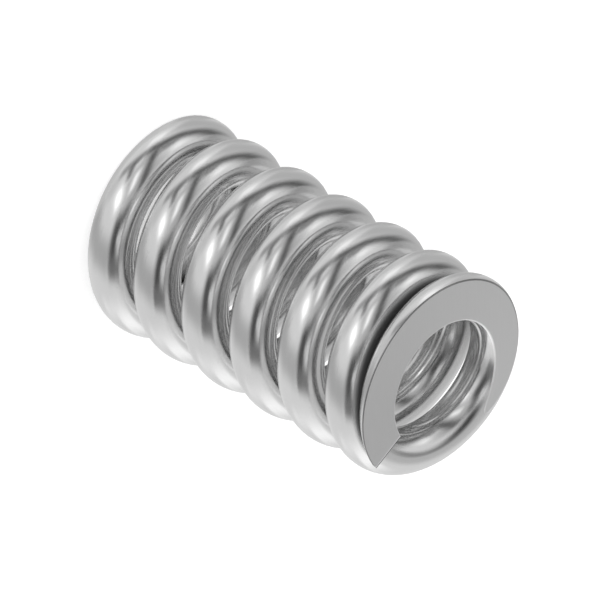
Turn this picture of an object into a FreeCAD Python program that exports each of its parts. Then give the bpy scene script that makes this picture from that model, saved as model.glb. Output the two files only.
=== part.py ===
# Compression spring of round wire, wound right-handed, with closed and ground ends.
#
# The spring stands on its lower ground end: the origin is the middle of that face, and +Z runs
# up the axis. The lower cut end of the wire lies in the XZ plane, on the +X side.
# Lengths are in millimetres, heights are along +Z, and one turn is one whole coil.

import os

import FreeCAD, Part
from math import ceil, pi

# Driving dimensions

wire_diameter = 4.0
outside_diameter = 19.0
free_length = 33.4
total_turns = 6.83

# Each end is wound shut for some turns, with a little air left under the next coil, and the
# pitch then opens to that of the working coils over part of a turn.
lower_closed_turns = 0.83
upper_closed_turns = 1.0
closed_gap = 0.07
opening_turns = 0.16

# Thickness of wire that the grinding leaves at each cut end.
tip_thickness = 1.06

# The block that stands for what the grinding leaves reaches this far past the coil all round.
grinding_margin = 2.0

# The sweep is made in spans of at most this many turns.
longest_span = 0.5

# Worked out from the driving dimensions

wire_radius = wire_diameter / 2
mean_radius = (outside_diameter - wire_diameter) / 2
closed_pitch = wire_diameter + closed_gap
closed_turns = lower_closed_turns + upper_closed_turns
working_turns = total_turns - closed_turns - 2 * opening_turns

# The centre of the wire starts below the lower ground face and ends as far above the upper one,
# so grinding takes away all but the tip thickness at both cut ends.
start_height = tip_thickness - wire_radius
climb = free_length - 2 * start_height

# The working coils climb what the closed coils leave over. Where the pitch opens, it is the
# mean of the two.
closed_climb = closed_pitch * (closed_turns + opening_turns)
open_pitch = (climb - closed_climb) / (working_turns + opening_turns)

# The wire from the lower cut end to the upper one: turns, pitch at the start, pitch at the end.
stretches = [
    (lower_closed_turns, closed_pitch, closed_pitch),
    (opening_turns, closed_pitch, open_pitch),
    (working_turns, open_pitch, open_pitch),
    (opening_turns, open_pitch, closed_pitch),
    (upper_closed_turns, closed_pitch, closed_pitch),
]


def unrolled_span(turn, height, turns, first_pitch, last_pitch):
    """One span of the path on the unrolled cylinder: a parabola, or a line at constant pitch."""
    mean_pitch = (first_pitch + last_pitch) / 2
    poles = [
        FreeCAD.Base.Vector2d(2 * pi * turn, height),
        FreeCAD.Base.Vector2d(2 * pi * (turn + turns / 2), height + first_pitch * turns / 2),
        FreeCAD.Base.Vector2d(2 * pi * (turn + turns), height + mean_pitch * turns),
    ]
    curve = Part.Geom2d.BSplineCurve2d()
    curve.buildFromPolesMultsKnots(poles, [3, 3], [0.0, 1.0], False, 2)
    return curve


def centre_line():
    """The path of the wire's centre: a helix whose pitch changes smoothly near the ends."""
    cylinder = Part.Cylinder()
    cylinder.Radius = mean_radius
    turn = 0.0
    height = start_height
    edges = []
    for turns, first_pitch, last_pitch in stretches:
        span_count = ceil(turns / longest_span)
        span = turns / span_count
        change = (last_pitch - first_pitch) / span_count
        for index in range(span_count):
            pitch = first_pitch + change * index
            curve = unrolled_span(turn, height, span, pitch, pitch + change)
            edges.append(curve.toShape(cylinder))
            turn += span
            height += span * (pitch + change / 2)
    return Part.Wire(edges)


def wound_wire():
    """The round wire before grinding, swept along its path, with both ends cut square."""
    path = centre_line()
    first_edge = path.OrderedEdges[0]
    start = first_edge.valueAt(first_edge.FirstParameter)
    direction = first_edge.tangentAt(first_edge.FirstParameter)
    sweep = Part.BRepOffsetAPI.MakePipeShell(path)
    sweep.setFrenetMode(True)
    sweep.add(Part.Wire(Part.makeCircle(wire_radius, start, direction)))
    sweep.build()
    sweep.makeSolid()
    return sweep.shape()


def ground_ends(wire):
    """The wire that is left between the two ground faces, as one solid."""
    side = outside_diameter + 2 * grinding_margin
    corner = FreeCAD.Vector(-side / 2, -side / 2, 0)
    kept = Part.makeBox(side, side, free_length, corner)
    return wire.common(kept).Solids[0]


os.makedirs("parts", exist_ok=True)
ground_ends(wound_wire()).exportStep("parts/spring_wire.step")
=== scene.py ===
import bmesh
import bpy
from collections import namedtuple
from math import acos, asin, atan2, cos, hypot, pi, radians, sin, sqrt
from mathutils import Matrix, Vector


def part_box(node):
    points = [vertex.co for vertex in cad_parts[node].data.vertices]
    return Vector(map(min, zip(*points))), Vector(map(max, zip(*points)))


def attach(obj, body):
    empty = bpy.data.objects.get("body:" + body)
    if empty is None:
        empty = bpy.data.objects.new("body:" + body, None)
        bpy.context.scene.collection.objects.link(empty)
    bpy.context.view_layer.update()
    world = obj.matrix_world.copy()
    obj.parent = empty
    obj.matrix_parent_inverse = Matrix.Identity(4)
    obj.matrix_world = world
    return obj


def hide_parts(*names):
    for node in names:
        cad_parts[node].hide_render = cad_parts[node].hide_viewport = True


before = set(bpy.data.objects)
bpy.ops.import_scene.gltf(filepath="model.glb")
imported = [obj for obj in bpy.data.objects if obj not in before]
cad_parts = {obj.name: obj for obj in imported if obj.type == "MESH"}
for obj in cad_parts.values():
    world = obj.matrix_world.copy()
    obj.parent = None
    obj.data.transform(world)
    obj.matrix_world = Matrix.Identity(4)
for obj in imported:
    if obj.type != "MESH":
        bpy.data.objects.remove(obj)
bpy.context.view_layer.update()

# The spring, in metres. Its outer sizes come from the frame. Places along the wire are counted
# in turns from its lower cut end.

node_low, node_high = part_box("spring_wire")
outside_diameter = node_high.x - node_low.x
free_length = node_high.z - node_low.z
wire_diameter = 0.004
total_turns = 6.83
lower_closed_turns = 0.83
upper_closed_turns = 1.0
closed_gap = 0.00007
opening_turns = 0.16
tip_thickness = 0.00106

wire_radius = wire_diameter / 2
mean_radius = (outside_diameter - wire_diameter) / 2
closed_pitch = wire_diameter + closed_gap
start_height = tip_thickness - wire_radius
climb = free_length - 2 * start_height
closed_turns = lower_closed_turns + upper_closed_turns
working_turns = total_turns - closed_turns - 2 * opening_turns
closed_climb = closed_pitch * (closed_turns + opening_turns)
open_pitch = (climb - closed_climb) / (working_turns + opening_turns)

# The small break on the ground edges, and how far along the wire it reaches at the cut ends.
# On a narrow flat it takes no more than this share of half the flat.
edge_break = 0.0001
cut_break = 0.00022
most_of_half_flat = 0.4

# The outer ground edge gets painted shade where the flat meets the round steeply: none up to the
# first of these half angles of the flat, and full from the second.
faint_half_angle = radians(25)
sharp_half_angle = radians(60)

# A gap to a coil that is ground past its middle counts as wider by this share of the depth, so the
# painted shade between the coils is fainter there.
ground_away_share = 0.3

# How finely the wire is meshed: rings along it and round the broken edge of a cut end, and
# steps over half of each ring.
rings_per_turn = 84
end_steps = 4
flat_steps = 5
break_steps = 3
round_steps = 20
strip_steps = flat_steps + break_steps + 1
half_ring = strip_steps + round_steps
ring_size = 2 * half_ring

# Rings this near to the thin end of a flat give way to the ring that lies there.
least_ring_spacing = 0.3 / rings_per_turn

# Past the thin end, the steps of the flat start at this share of their even size and reach it
# after so many turns.
first_spread = 0.02
spreading_turns = 0.5

# Finishes of the spring's faces, numbered as its materials are.
wire_finish, flat_finish, end_finish, edge_finish = range(4)


def soft_step(value):
    """0 up to 0, 1 from 1, and a smooth rise between."""
    value = min(max(value, 0.0), 1.0)
    return value * value * (3 - 2 * value)


def rise_from_end(turns, closed):
    """Climb of the wire's centre from a cut end, over the closed coil and into the working ones."""
    opening = min(max(turns - closed, 0.0), opening_turns)
    opened = max(turns - closed - opening_turns, 0.0)
    steepening = (open_pitch - closed_pitch) / opening_turns
    return closed_pitch * (turns - opened) + steepening * opening**2 / 2 + open_pitch * opened


def rise(turn):
    """Climb of the wire's centre from its lower cut end."""
    if turn > total_turns / 2:
        return climb - rise_from_end(total_turns - turn, upper_closed_turns)
    return rise_from_end(turn, lower_closed_turns)


def pitch_at(turn):
    """Climb per turn at a place along the wire."""
    past_closed = min(turn - lower_closed_turns, total_turns - turn - upper_closed_turns)
    share = min(max(past_closed / opening_turns, 0.0), 1.0)
    return closed_pitch + (open_pitch - closed_pitch) * share


def slope_at(turn):
    """Angle of the wire to the horizontal."""
    return atan2(pitch_at(turn), 2 * pi * mean_radius)


# Turns from a cut end to the place where the ground flat thins out to nothing.
ground_turns = (wire_radius * cos(slope_at(0)) - start_height) / closed_pitch


def toward(angle):
    """Direction in the wire's section, by its angle from the side that faces the ground end."""
    return Vector((sin(angle), -cos(angle)))


def flat_half_angle(from_end):
    """Half of the arc that the ground flat cuts off the section, or 0 past its thin end."""
    depth = (start_height + closed_pitch * from_end) / cos(slope_at(0))
    return acos(min(depth / wire_radius, 1.0))


def flat_and_edge(half_angle):
    """Half of the flat and its broken edge, and the angle at which the round starts."""
    depth = wire_radius * cos(half_angle)
    half_flat = wire_radius * sin(half_angle)
    cut = min(edge_break, half_flat * most_of_half_flat)
    corner = Vector((half_flat, -depth))
    flat_edge = Vector((half_flat - cut, -depth))
    round_start = half_angle + cut / wire_radius
    round_edge = toward(round_start) * wire_radius
    down = toward(0)
    points = []
    for step in range(flat_steps + 1):
        points.append((Vector((flat_edge.x * step / flat_steps, -depth)), down))
    for step in range(1, break_steps + 1):
        share = step / (break_steps + 1)
        spot = flat_edge.lerp(corner, share).lerp(corner.lerp(round_edge, share), share)
        points.append((spot, down.lerp(toward(round_start), share).normalized()))
    return points, round_start


def spread_flat(past_thin_end):
    """The points of the flat and its edge past the thin end, where they lie on the round."""
    even = pi * strip_steps / half_ring
    round_start = even * min(max(past_thin_end / spreading_turns, first_spread), 1.0)
    facings = [toward(round_start * step / strip_steps) for step in range(strip_steps)]
    return [(facing * wire_radius, facing) for facing in facings], round_start


def half_section(from_end):
    """Half of the section's outline, from the middle of the flat to the far side of the wire.

    Each point comes with the direction that the surface faces there. Every outline has as many
    points, in the same order.
    """
    half_angle = flat_half_angle(from_end)
    if half_angle > 0:
        points, round_start = flat_and_edge(half_angle)
    else:
        points, round_start = spread_flat(from_end - ground_turns)
    for step in range(round_steps + 1):
        facing = toward(round_start + (pi - round_start) * step / round_steps)
        points.append((facing * wire_radius, facing))
    return points


def section(turn):
    """The whole outline at a place, with its facing directions, always from its lowest point."""
    lower = turn < total_turns / 2
    half = half_section(turn if lower else total_turns - turn)
    left = Vector((-1, 1))
    whole = half + [(point * left, facing * left) for point, facing in reversed(half[1:-1])]
    if lower:
        return whole
    turned = Vector((1, -1))
    order = [(half_ring - index) % ring_size for index in range(ring_size)]
    return [(whole[index][0] * turned, whole[index][1] * turned) for index in order]


def gap_to_next_coil(turn, point):
    """Air between a point of the section and the coil above it or below it.

    The gap counts as wider where that coil is ground past its middle, or has ended.
    """
    gaps = []
    for neighbour in (turn - 1, turn + 1):
        nearest = min(max(neighbour, 0.0), total_turns)
        past_end = abs(neighbour - nearest) * 2 * pi * mean_radius
        from_end = min(nearest, total_turns - nearest)
        past_middle = max(-start_height - closed_pitch * from_end, 0.0)
        away = rise(nearest) - rise(turn)
        air = hypot(point.x, point.y - away, past_end) - wire_radius
        gaps.append(air + ground_away_share * past_middle + past_end)
    return min(gaps)


def path_frame(turn):
    """Centre, outward, forward and upward directions of the wire at a place."""
    angle = 2 * pi * turn
    slope = slope_at(turn)
    outward = Vector((cos(angle), sin(angle), 0))
    around = Vector((-sin(angle), cos(angle), 0))
    forward = around * cos(slope) + Vector((0, 0, sin(slope)))
    upward = Vector((0, 0, cos(slope))) - around * sin(slope)
    centre = outward * mean_radius + Vector((0, 0, start_height + rise(turn)))
    return centre, outward, forward, upward


# A point of the mesh: where it is, the direction it faces, where it would be on the straightened
# wire, the air to the next coil, and how much painted shade the ground edge gets there.
MeshPoint = namedtuple("MeshPoint", "place facing straightened gap edge_shade")


def ring_of_points(turn, share_of_end, end_side):
    """One ring of the mesh.

    Round a cut end, share_of_end goes from 0 at the side of the wire to 1 at the end's face, and
    the ring sinks into the broken edge. end_side is -1 at the lower end and 1 at the upper one.
    """
    centre, outward, forward, upward = path_frame(turn)
    turn_length = 2 * pi * mean_radius / cos(slope_at(turn))
    angle = pi / 2 * share_of_end
    narrowed = edge_break * (1 - cos(angle))
    shift = end_side * cut_break * (1 - sin(angle))
    steepness = flat_half_angle(min(turn, total_turns - turn)) - faint_half_angle
    sharpness = soft_step(steepness / (sharp_half_angle - faint_half_angle))
    points = []
    for point, facing in section(turn):
        spot = point - facing * narrowed
        side = outward * facing.x + upward * facing.y
        leaning = forward * sin(angle) * end_side * edge_break
        points.append(
            MeshPoint(
                place=centre + outward * spot.x + upward * spot.y - forward * shift,
                facing=(side * cos(angle) * cut_break + leaning).normalized(),
                straightened=(turn * turn_length, spot.x, spot.y),
                gap=gap_to_next_coil(turn, spot),
                edge_shade=sharpness if spot.x > 0 and not end_side else 0.0,
            )
        )
    return points


def ring_turns():
    """Places of the rings: evenly spaced, with one at each thin end of the ground flats."""
    count = round(total_turns * rings_per_turn)
    turns = [total_turns * index / count for index in range(count + 1)]
    thin_ends = [ground_turns, total_turns - ground_turns]
    kept = [turn for turn in turns if min(abs(turn - end) for end in thin_ends) > least_ring_spacing]
    return sorted(kept + thin_ends)


def spring_rings():
    """All rings from the lower cut end to the upper one, each as its place and its points."""
    first, *between, last = ring_turns()
    places = [(first, step / end_steps, -1) for step in range(end_steps, -1, -1)]
    places += [(turn, 0.0, 0) for turn in between]
    places += [(last, step / end_steps, 1) for step in range(end_steps + 1)]
    return [(place[0], ring_of_points(*place)) for place in places]


def finish_between(low_turn, high_turn, index):
    """The finish of a face between two rings, by its number from the bottom of the section.

    Two rings at the same place along the wire belong to the broken edge of a cut end.
    """
    if low_turn == high_turn:
        return edge_finish
    from_bottom = min(index, ring_size - 1 - index)
    if high_turn <= ground_turns:
        from_flat = from_bottom
    elif low_turn >= total_turns - ground_turns:
        from_flat = half_ring - 1 - from_bottom
    else:
        return wire_finish
    if from_flat < flat_steps:
        return flat_finish
    return edge_finish if from_flat < strip_steps else wire_finish


def add_values(mesh, name, values):
    """Gives each point of a mesh a value of its own, which materials read by its name."""
    mesh.attributes.new(name, "FLOAT", "POINT").data.foreach_set("value", values)


def spring_mesh():
    """The wire's mesh, closed at its cut ends, with the finish of each face."""
    rings = spring_rings()
    faces = []
    finishes = []
    for number in range(len(rings) - 1):
        low_turn, high_turn = rings[number][0], rings[number + 1][0]
        low, high = number * ring_size, (number + 1) * ring_size
        for index in range(ring_size):
            after = (index + 1) % ring_size
            faces.append((low + index, high + index, high + after, low + after))
            finishes.append(finish_between(low_turn, high_turn, index))
    last = (len(rings) - 1) * ring_size
    for end in (range(ring_size), range(last + ring_size - 1, last - 1, -1)):
        faces.append(tuple(end))
        finishes.append(end_finish)

    points = [point for turn, ring in rings for point in ring]
    mesh = bpy.data.meshes.new("spring_wire_dressed")
    mesh.from_pydata([point.place for point in points], [], faces)
    mesh.polygons.foreach_set("material_index", finishes)
    mesh.polygons.foreach_set("use_smooth", [True] * len(faces))
    straightened = mesh.attributes.new("straightened", "FLOAT_VECTOR", "POINT")
    coordinates = [value for point in points for value in point.straightened]
    straightened.data.foreach_set("vector", coordinates)
    add_values(mesh, "next_coil_gap", [point.gap for point in points])
    add_values(mesh, "edge_shade", [point.edge_shade for point in points])
    mesh.normals_split_custom_set_from_vertices([point.facing for point in points])
    mesh.update()
    return mesh


# Materials

# Most noise lies between these two values.
noise_low = 0.3
noise_high = 0.7

# Painted shade between the coils: the wire is painted dark and less metallic where the gap to
# the next coil is up to the first of these, and unshaded from the second. The painted shade is
# this bright beside the unshaded wire.
darkest_shade_gap = 0.0005
unshaded_gap = 0.0011
painted_shade_brightness = 0.1

# How bright the darkest painted shade on the ground edge is beside the rest of it.
darkest_edge_shade_brightness = 0.36

# Depths of the die lines and the grinding marks, and how strongly they show.
die_line_depth = 0.0001
grinding_depth = 0.00005
relief_strength = 0.02


def add_node(tree, kind, values=None, **settings):
    """A new node, with its settings and, in values, those of its sockets."""
    node = tree.nodes.new(kind)
    for name, setting in settings.items():
        setattr(node, name, setting)
    for socket, value in (values or {}).items():
        node.inputs[socket].default_value = value
    return node


def new_material(name):
    """A node material, its tree and its shader."""
    material = bpy.data.materials.new(name)
    material.use_nodes = True
    tree = material.node_tree
    return material, tree, tree.nodes["Principled BSDF"]


def held_by_mesh(tree, name, output="Fac"):
    """What the mesh holds under a name at each point."""
    return add_node(tree, "ShaderNodeAttribute", attribute_name=name).outputs[output]


def stretched_noise(tree, place, cells_per_metre, detail):
    """Noise with cells of another size in each direction."""
    mapping = add_node(tree, "ShaderNodeMapping", {"Scale": cells_per_metre})
    noise = add_node(tree, "ShaderNodeTexNoise", {"Scale": 1.0, "Detail": detail})
    tree.links.new(place, mapping.inputs["Vector"])
    tree.links.new(mapping.outputs["Vector"], noise.inputs["Vector"])
    return noise.outputs["Fac"]


def mapped(tree, value, low, high, start=0.0, end=1.0, kind="LINEAR"):
    """A value that goes from low to high while the given one goes from start to end."""
    values = {"From Min": start, "From Max": end, "To Min": low, "To Max": high}
    node = add_node(tree, "ShaderNodeMapRange", values, interpolation_type=kind)
    tree.links.new(value, node.inputs["Value"])
    return node.outputs["Result"]


def spread(tree, noise, low, high):
    """Noise spread from low to high."""
    return mapped(tree, noise, low, high, noise_low, noise_high)


def combined(tree, first, second, operation):
    """Two values multiplied, or the larger of them."""
    node = add_node(tree, "ShaderNodeMath", operation=operation)
    tree.links.new(first, node.inputs[0])
    tree.links.new(second, node.inputs[1])
    return node.outputs[0]


def grey(tree, brightness):
    """A grey colour of a brightness."""
    node = add_node(tree, "ShaderNodeCombineColor")
    for channel in ("Red", "Green", "Blue"):
        tree.links.new(brightness, node.inputs[channel])
    return node.outputs["Color"]


def add_relief(tree, shader, height, depth):
    """Faint relief on a surface, from a height of 0 to 1 that stands for a depth in metres."""
    bump = add_node(tree, "ShaderNodeBump", {"Strength": relief_strength, "Distance": depth})
    tree.links.new(height, bump.inputs["Height"])
    tree.links.new(bump.outputs["Normal"], shader.inputs["Normal"])


def drawn_wire():
    """Bright drawn steel with faint die lines, and painted shade, dark and dull, where closed coils
    nearly touch.
    """
    material, tree, shader = new_material("drawn_steel_wire")
    place = held_by_mesh(tree, "straightened", "Vector")
    die_lines = stretched_noise(tree, place, (30, 4000, 4000), detail=3.0)
    patches = stretched_noise(tree, place, (120, 350, 350), detail=2.0)
    gap = held_by_mesh(tree, "next_coil_gap")
    # Painted shade: the wire is painted darker and less metallic where the gap to the next coil is
    # narrow.
    unshaded = mapped(tree, gap, 0.0, 1.0, darkest_shade_gap, unshaded_gap, "SMOOTHSTEP")
    painted_shade_dimming = mapped(tree, unshaded, painted_shade_brightness, 1.0)
    brightness = combined(tree, spread(tree, patches, 0.72, 0.78), painted_shade_dimming, "MULTIPLY")
    tree.links.new(unshaded, shader.inputs["Metallic"])
    tree.links.new(grey(tree, brightness), shader.inputs["Base Color"])
    tree.links.new(spread(tree, die_lines, 0.14, 0.20), shader.inputs["Roughness"])
    add_relief(tree, shader, die_lines, die_line_depth)
    return material


def ground_edge():
    """The fine line of a ground or cut edge: a painted highlight, with painted shade round the outside
    where the edge is sharp.
    """
    material, tree, shader = new_material("ground_edge")
    place = held_by_mesh(tree, "straightened", "Vector")
    nicks = stretched_noise(tree, place, (900, 900, 900), detail=2.0)
    painted_edge_shade = mapped(tree, held_by_mesh(tree, "edge_shade"), 1.0, darkest_edge_shade_brightness)
    # Painted highlight: the edge is painted brighter than the wire, and its painted shade darkens it
    # round the outside.
    brightness = combined(tree, spread(tree, nicks, 0.84, 0.96), painted_edge_shade, "MULTIPLY")
    shader.inputs["Metallic"].default_value = 1.0
    tree.links.new(grey(tree, brightness), shader.inputs["Base Color"])
    tree.links.new(spread(tree, nicks, 0.30, 0.42), shader.inputs["Roughness"])
    return material


def ground_steel(name, darkest, brightest):
    """Satin steel as a grinding wheel leaves it, with fine straight marks."""
    material, tree, shader = new_material(name)
    place = add_node(tree, "ShaderNodeTexCoord").outputs["Object"]
    marks = stretched_noise(tree, place, (400, 9000, 9000), detail=3.0)
    shader.inputs["Metallic"].default_value = 1.0
    tree.links.new(grey(tree, spread(tree, marks, darkest, brightest)), shader.inputs["Base Color"])
    tree.links.new(spread(tree, marks, 0.38, 0.46), shader.inputs["Roughness"])
    add_relief(tree, shader, marks, grinding_depth)
    return material


# The camera looks at the spring as the photograph does: an isometric view from beside the upper
# cut end, turned so that the spring's axis slopes down to the right. The photograph is 600 pixels
# square, at 12.05 pixels to the millimetre.

pixel = 0.001 / 12.05
picture_side = 600 * pixel
spring_right_of_centre = 0.5 * pixel
spring_below_centre = 0.2 * pixel
azimuth_past_cut_end = radians(13.44)
axis_slope = radians(30)
camera_distance = 0.4
nearest_seen = 0.01
farthest_seen = 5

camera_azimuth = azimuth_past_cut_end + radians(360 * total_turns)
camera_elevation = asin(1 / sqrt(3))
to_camera = Vector(
    (
        sin(camera_azimuth) * cos(camera_elevation),
        -cos(camera_azimuth) * cos(camera_elevation),
        sin(camera_elevation),
    )
)
axis_in_picture = (Vector((0, 0, 1)) - to_camera * to_camera.z).normalized()
across_in_picture = axis_in_picture.cross(to_camera)
picture_right = axis_in_picture * cos(axis_slope) - across_in_picture * sin(axis_slope)
picture_down = axis_in_picture * sin(axis_slope) + across_in_picture * cos(axis_slope)
picture_up = -picture_down
middle = Vector((0, 0, free_length / 2))


def add_object(name, data):
    """A new object in the scene."""
    added = bpy.data.objects.new(name, data)
    bpy.context.scene.collection.objects.link(added)
    return added


def add_camera():
    """The camera, turned about its own line of sight."""
    data = bpy.data.cameras.new("camera")
    data.type = "ORTHO"
    data.ortho_scale = picture_side
    data.clip_start = nearest_seen
    data.clip_end = farthest_seen
    camera = add_object("camera", data)
    aim = middle - picture_right * spring_right_of_centre - picture_down * spring_below_centre
    turn = Matrix((picture_right, picture_up, to_camera)).transposed().to_4x4()
    camera.matrix_world = Matrix.Translation(aim + to_camera * camera_distance) @ turn
    bpy.context.scene.camera = camera


# The studio: bright, dark and grey cards round the spring, before a pale wall, all of them seen
# only in reflections. A card is a strip along a line, and its line is given by where a polished
# ball under the same camera would show it.

studio_radius = 1.5
layer_step = studio_radius / 50
card_columns = 12
least_card_rows = 8
card_row_length = 0.03

# Each card: name, line on the ball, width, softness of its edge, brightness, layer from inside.
cards = [
    ("key_panel", [(-0.37, 0.275), (-0.20, 0.03)], 0.19, 0.09, 1.85, 0),
    ("key_glow", [(-0.46, 0.36), (-0.12, -0.02)], 0.34, 0.16, 1.12, 1),
    ("second_panel", [(-0.01, 0.38), (0.005, 0.27), (0.06, 0.05)], 0.20, 0.10, 1.30, 1),
    ("right_panel", [(0.44, 0.37), (0.53, 0.29), (0.61, 0.20), (0.63, 0.15)], 0.21, 0.11, 1.14, 1),
    ("top_panel", [(-0.24, 0.70), (-0.06, 0.735), (0.12, 0.72)], 0.21, 0.10, 1.16, 1),
    ("low_panel", [(0.04, -0.27), (0.18, -0.29)], 0.13, 0.065, 0.80, 0),
    ("low_glow", [(0.29, -0.05), (0.33, -0.16)], 0.12, 0.06, 0.60, 1),
    ("bottom_panel", [(-0.20, -0.91), (0.18, -0.79), (0.38, -0.67)], 0.28, 0.14, 1.24, 1),
    ("bottom_glow", [(-0.62, -0.68), (-0.34, -0.78), (0.0, -0.76), (0.25, -0.68)], 0.28, 0.14, 0.96, 3),
    (
        "dark_arc",
        [(-0.10, 0.58), (0.04, 0.56), (0.18, 0.55), (0.38, 0.54),
         (0.56, 0.47), (0.70, 0.38), (0.79, 0.26), (0.82, 0.12)],
        0.26, 0.13, 0.10, 2,
    ),
    ("dark_arc_end", [(0.82, 0.22), (0.85, -0.14)], 0.22, 0.10, 0.27, 3),
    (
        "dark_arc_start",
        [(-0.58, 0.45), (-0.40, 0.51), (-0.20, 0.555), (0.04, 0.58)],
        0.20, 0.10, 0.30, 3,
    ),
    (
        "dark_left_branch",
        [(-0.35, 0.53), (-0.27, 0.46), (-0.23, 0.38), (-0.20, 0.285)],
        0.19, 0.09, 0.14, 0,
    ),
    ("dark_left_joint", [(-0.32, 0.50), (-0.11, 0.53)], 0.15, 0.07, 0.22, 1),
    (
        "dark_branch",
        [(0.10, 0.54), (0.19, 0.36), (0.23, 0.22), (0.29, 0.10), (0.30, -0.05)],
        0.23, 0.11, 0.08, 2,
    ),
    ("dark_fork", [(0.20, 0.48), (0.34, 0.42), (0.50, 0.42)], 0.20, 0.10, 0.25, 2),
    ("dark_low", [(0.03, 0.02), (-0.03, -0.28), (0.0, -0.60)], 0.46, 0.18, 0.07, 2),
    ("dark_low_middle", [(0.04, -0.10), (0.30, -0.14)], 0.28, 0.12, 0.20, 2),
    ("dark_low_foot", [(-0.20, -0.46), (0.06, -0.46), (0.34, -0.45)], 0.24, 0.10, 0.18, 1),
    ("dark_low_right", [(0.20, -0.16), (0.41, -0.22), (0.65, -0.165)], 0.36, 0.16, 0.05, 2),
    ("dark_low_tail", [(0.50, -0.25), (0.68, -0.20), (0.78, -0.02)], 0.20, 0.10, 0.25, 3),
    (
        "grey_left",
        [(-0.88, 0.36), (-0.83, 0.04), (-0.66, -0.19), (-0.42, -0.31), (-0.10, -0.43)],
        0.44, 0.18, 0.48, 3,
    ),
    ("grey_upper_left", [(-0.74, 0.22), (-0.52, 0.50)], 0.36, 0.15, 0.66, 4),
    (
        "grey_left_rim",
        [(-0.93, 0.24), (-0.82, 0.46), (-0.64, 0.68), (-0.40, 0.85), (-0.16, 0.95)],
        0.26, 0.10, 0.64, 5,
    ),
    ("grey_top", [(-0.34, 0.88), (0.0, 0.92), (0.30, 0.90)], 0.22, 0.11, 0.68, 4),
    ("grey_top_rim", [(-0.16, 0.98), (0.25, 0.95), (0.50, 0.86)], 0.18, 0.09, 0.50, 3),
    (
        "grey_right",
        [(0.12, 0.86), (0.38, 0.76), (0.60, 0.66), (0.83, 0.46), (0.94, 0.16), (0.94, -0.20)],
        0.36, 0.16, 0.55, 3,
    ),
    ("grey_low_right", [(0.18, -0.36), (0.96, -0.26)], 0.66, 0.20, 0.55, 4),
    ("grey_middle", [(-0.12, 0.50), (0.12, 0.18), (0.50, -0.06)], 0.66, 0.22, 0.50, 5),
]

wall_brightness = 0.8
wall_layer = 9


def seen_in_ball(x, y):
    """The direction that a polished ball shows at a place on its picture, from -1 to 1."""
    height = sqrt(max(1 - x * x - y * y, 0.0))
    normal = picture_right * x + picture_up * y + to_camera * height
    return 2 * height * normal - to_camera


def along_line(points, travelled):
    """The place after a distance along a line, and the direction across the line there."""
    leg = 0
    length = (points[1] - points[0]).length
    while leg < len(points) - 2 and travelled > length:
        travelled -= length
        leg += 1
        length = (points[leg + 1] - points[leg]).length
    this_leg = points[leg + 1] - points[leg]
    over_next_leg = points[min(leg + 2, len(points) - 1)] - points[leg]
    along = (this_leg.normalized() + over_next_leg.normalized()).normalized()
    return points[leg].lerp(points[leg + 1], travelled / length), Vector((-along.y, along.x))


def card_material(name, brightness):
    """A plain glow, as solid as the card's cover is at each point."""
    material = bpy.data.materials.new(name)
    material.use_nodes = True
    tree = material.node_tree
    tree.nodes.clear()
    see_through = add_node(tree, "ShaderNodeBsdfTransparent")
    glow = add_node(tree, "ShaderNodeEmission", {"Strength": brightness})
    mix = add_node(tree, "ShaderNodeMixShader")
    output = add_node(tree, "ShaderNodeOutputMaterial")
    tree.links.new(held_by_mesh(tree, "cover"), mix.inputs["Fac"])
    tree.links.new(see_through.outputs[0], mix.inputs[1])
    tree.links.new(glow.outputs[0], mix.inputs[2])
    tree.links.new(mix.outputs[0], output.inputs["Surface"])
    return material


def add_reflected_only(name, mesh, cover, brightness):
    """A glowing mesh that is seen only in reflections."""
    add_values(mesh, "cover", cover)
    mesh.materials.append(card_material(name, brightness))
    glowing = add_object(name, mesh)
    glowing.visible_camera = False
    glowing.visible_diffuse = False
    glowing.visible_transmission = False
    glowing.visible_shadow = False


def add_card(name, line, width, softness, brightness, layer):
    """A soft-edged strip along a line on the ball, of one brightness."""
    points = [Vector(point) for point in line]
    length = sum((after - before).length for before, after in zip(points, points[1:]))
    radius = studio_radius + layer_step * layer
    rows = max(least_card_rows, round(length / card_row_length))
    vertices = []
    cover = []
    for row in range(rows + 1):
        travelled = length * row / rows
        spot, across = along_line(points, travelled)
        from_tip = min(travelled, length - travelled)
        for column in range(card_columns + 1):
            offset = (column / card_columns - 0.5) * width
            from_side = width / 2 - abs(offset)
            vertices.append(middle + seen_in_ball(*(spot + across * offset)) * radius)
            cover.append(soft_step(from_side / softness) * soft_step(from_tip / softness))
    stride = card_columns + 1
    corners = [row * stride + column for row in range(rows) for column in range(card_columns)]
    faces = [(corner, corner + 1, corner + stride + 1, corner + stride) for corner in corners]
    mesh = bpy.data.meshes.new(name)
    mesh.from_pydata(vertices, [], faces)
    add_reflected_only(name, mesh, cover, brightness)


def add_wall():
    """The pale studio wall all round, behind the cards."""
    shape = bmesh.new()
    bmesh.ops.create_icosphere(shape, subdivisions=4, radius=studio_radius + layer_step * wall_layer)
    mesh = bpy.data.meshes.new("studio_wall")
    shape.to_mesh(mesh)
    shape.free()
    mesh.transform(Matrix.Translation(middle))
    add_reflected_only("studio_wall", mesh, [1.0] * len(mesh.vertices), wall_brightness)


# The lamps and the world light the spring at a plain level. The floor is plain white.

lamp_distance = 0.45
least_lamp_rise = 0.35
world_strength = 0.8
floor_radius = 0.45
floor_sides = 96
floor_below_spring = 0.00002
floor_colour = (0.8, 0.8, 0.8, 1)
floor_glow = 0.5
white = (1, 1, 1, 1)


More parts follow.
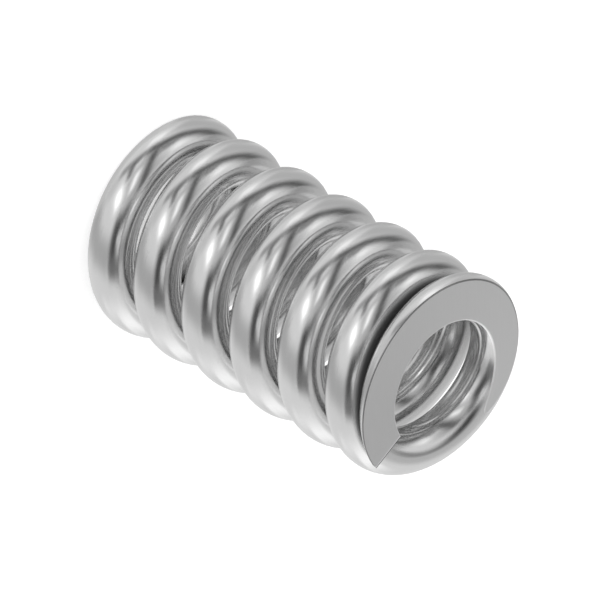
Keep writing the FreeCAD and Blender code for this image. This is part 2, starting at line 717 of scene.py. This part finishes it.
def add_lamp(name, ball_place, size, watts):
    """A soft square lamp on the side that a ball would show at that place.

    Its direction rises by least_lamp_rise or more, so that it never shines along the floor.
    """
    data = bpy.data.lights.new(name, "AREA")
    data.size = size
    data.energy = watts
    lamp = add_object(name, data)
    direction = seen_in_ball(*ball_place)
    direction.z = max(direction.z, least_lamp_rise)
    direction.normalize()
    lamp.location = middle + direction * lamp_distance
    lamp.rotation_mode = "QUATERNION"
    lamp.rotation_quaternion = direction.to_track_quat("Z", "Y")
    lamp.visible_camera = False
    lamp.visible_glossy = False


def seen_directly(tree):
    """1 for camera, glossy and transmission rays, and 0 for the rest."""
    rays = add_node(tree, "ShaderNodeLightPath").outputs
    camera_or_glossy = combined(tree, rays["Is Camera Ray"], rays["Is Glossy Ray"], "MAXIMUM")
    return combined(tree, camera_or_glossy, rays["Is Transmission Ray"], "MAXIMUM")


def add_world():
    """White where it is seen, and elsewhere a plain even light."""
    world = bpy.data.worlds.new("studio")
    bpy.context.scene.world = world
    world.use_nodes = True
    tree = world.node_tree
    background = tree.nodes["Background"]
    background.inputs["Color"].default_value = white
    strength = mapped(tree, seen_directly(tree), world_strength, 1.0)
    tree.links.new(strength, background.inputs["Strength"])


def floor_paper():
    """Dull white paper, which glows a little so that it shows white and keeps the shadow."""
    material, tree, shader = new_material("floor_paper")
    shader.inputs["Base Color"].default_value = floor_colour
    shader.inputs["Roughness"].default_value = 1.0
    shader.inputs["Specular IOR Level"].default_value = 0.0
    shader.inputs["Emission Color"].default_value = white
    glow = add_node(tree, "ShaderNodeMath", {1: floor_glow}, operation="MULTIPLY")
    tree.links.new(seen_directly(tree), glow.inputs[0])
    tree.links.new(glow.outputs[0], shader.inputs["Emission Strength"])
    return material


def add_floor():
    """A plain round floor, a hair below the lower ground face."""
    angles = [2 * pi * index / floor_sides for index in range(floor_sides)]
    rim = [
        (floor_radius * cos(angle), floor_radius * sin(angle), -floor_below_spring)
        for angle in angles
    ]
    mesh = bpy.data.meshes.new("floor")
    mesh.from_pydata(rim, [], [tuple(range(floor_sides))])
    mesh.materials.append(floor_paper())
    floor = add_object("floor", mesh)
    floor.visible_glossy = False


# The spring

mesh = spring_mesh()
mesh.materials.append(drawn_wire())
mesh.materials.append(ground_steel("ground_steel_face", darkest=0.70, brightest=0.725))
mesh.materials.append(ground_steel("cut_steel_end", darkest=0.68, brightest=0.74))
mesh.materials.append(ground_edge())
spring = add_object("spring_wire_dressed", mesh)
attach(spring, "root")
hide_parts("spring_wire")

# Its surroundings

add_camera()
add_wall()
for card in cards:
    add_card(*card)
add_lamp("key_lamp", ball_place=(-0.30, 0.05), size=0.16, watts=0.35)
add_lamp("fill_lamp", ball_place=(0.45, 0.30), size=0.20, watts=0.25)
add_world()
add_floor()
bpy.context.scene.view_settings.view_transform = "Standard"
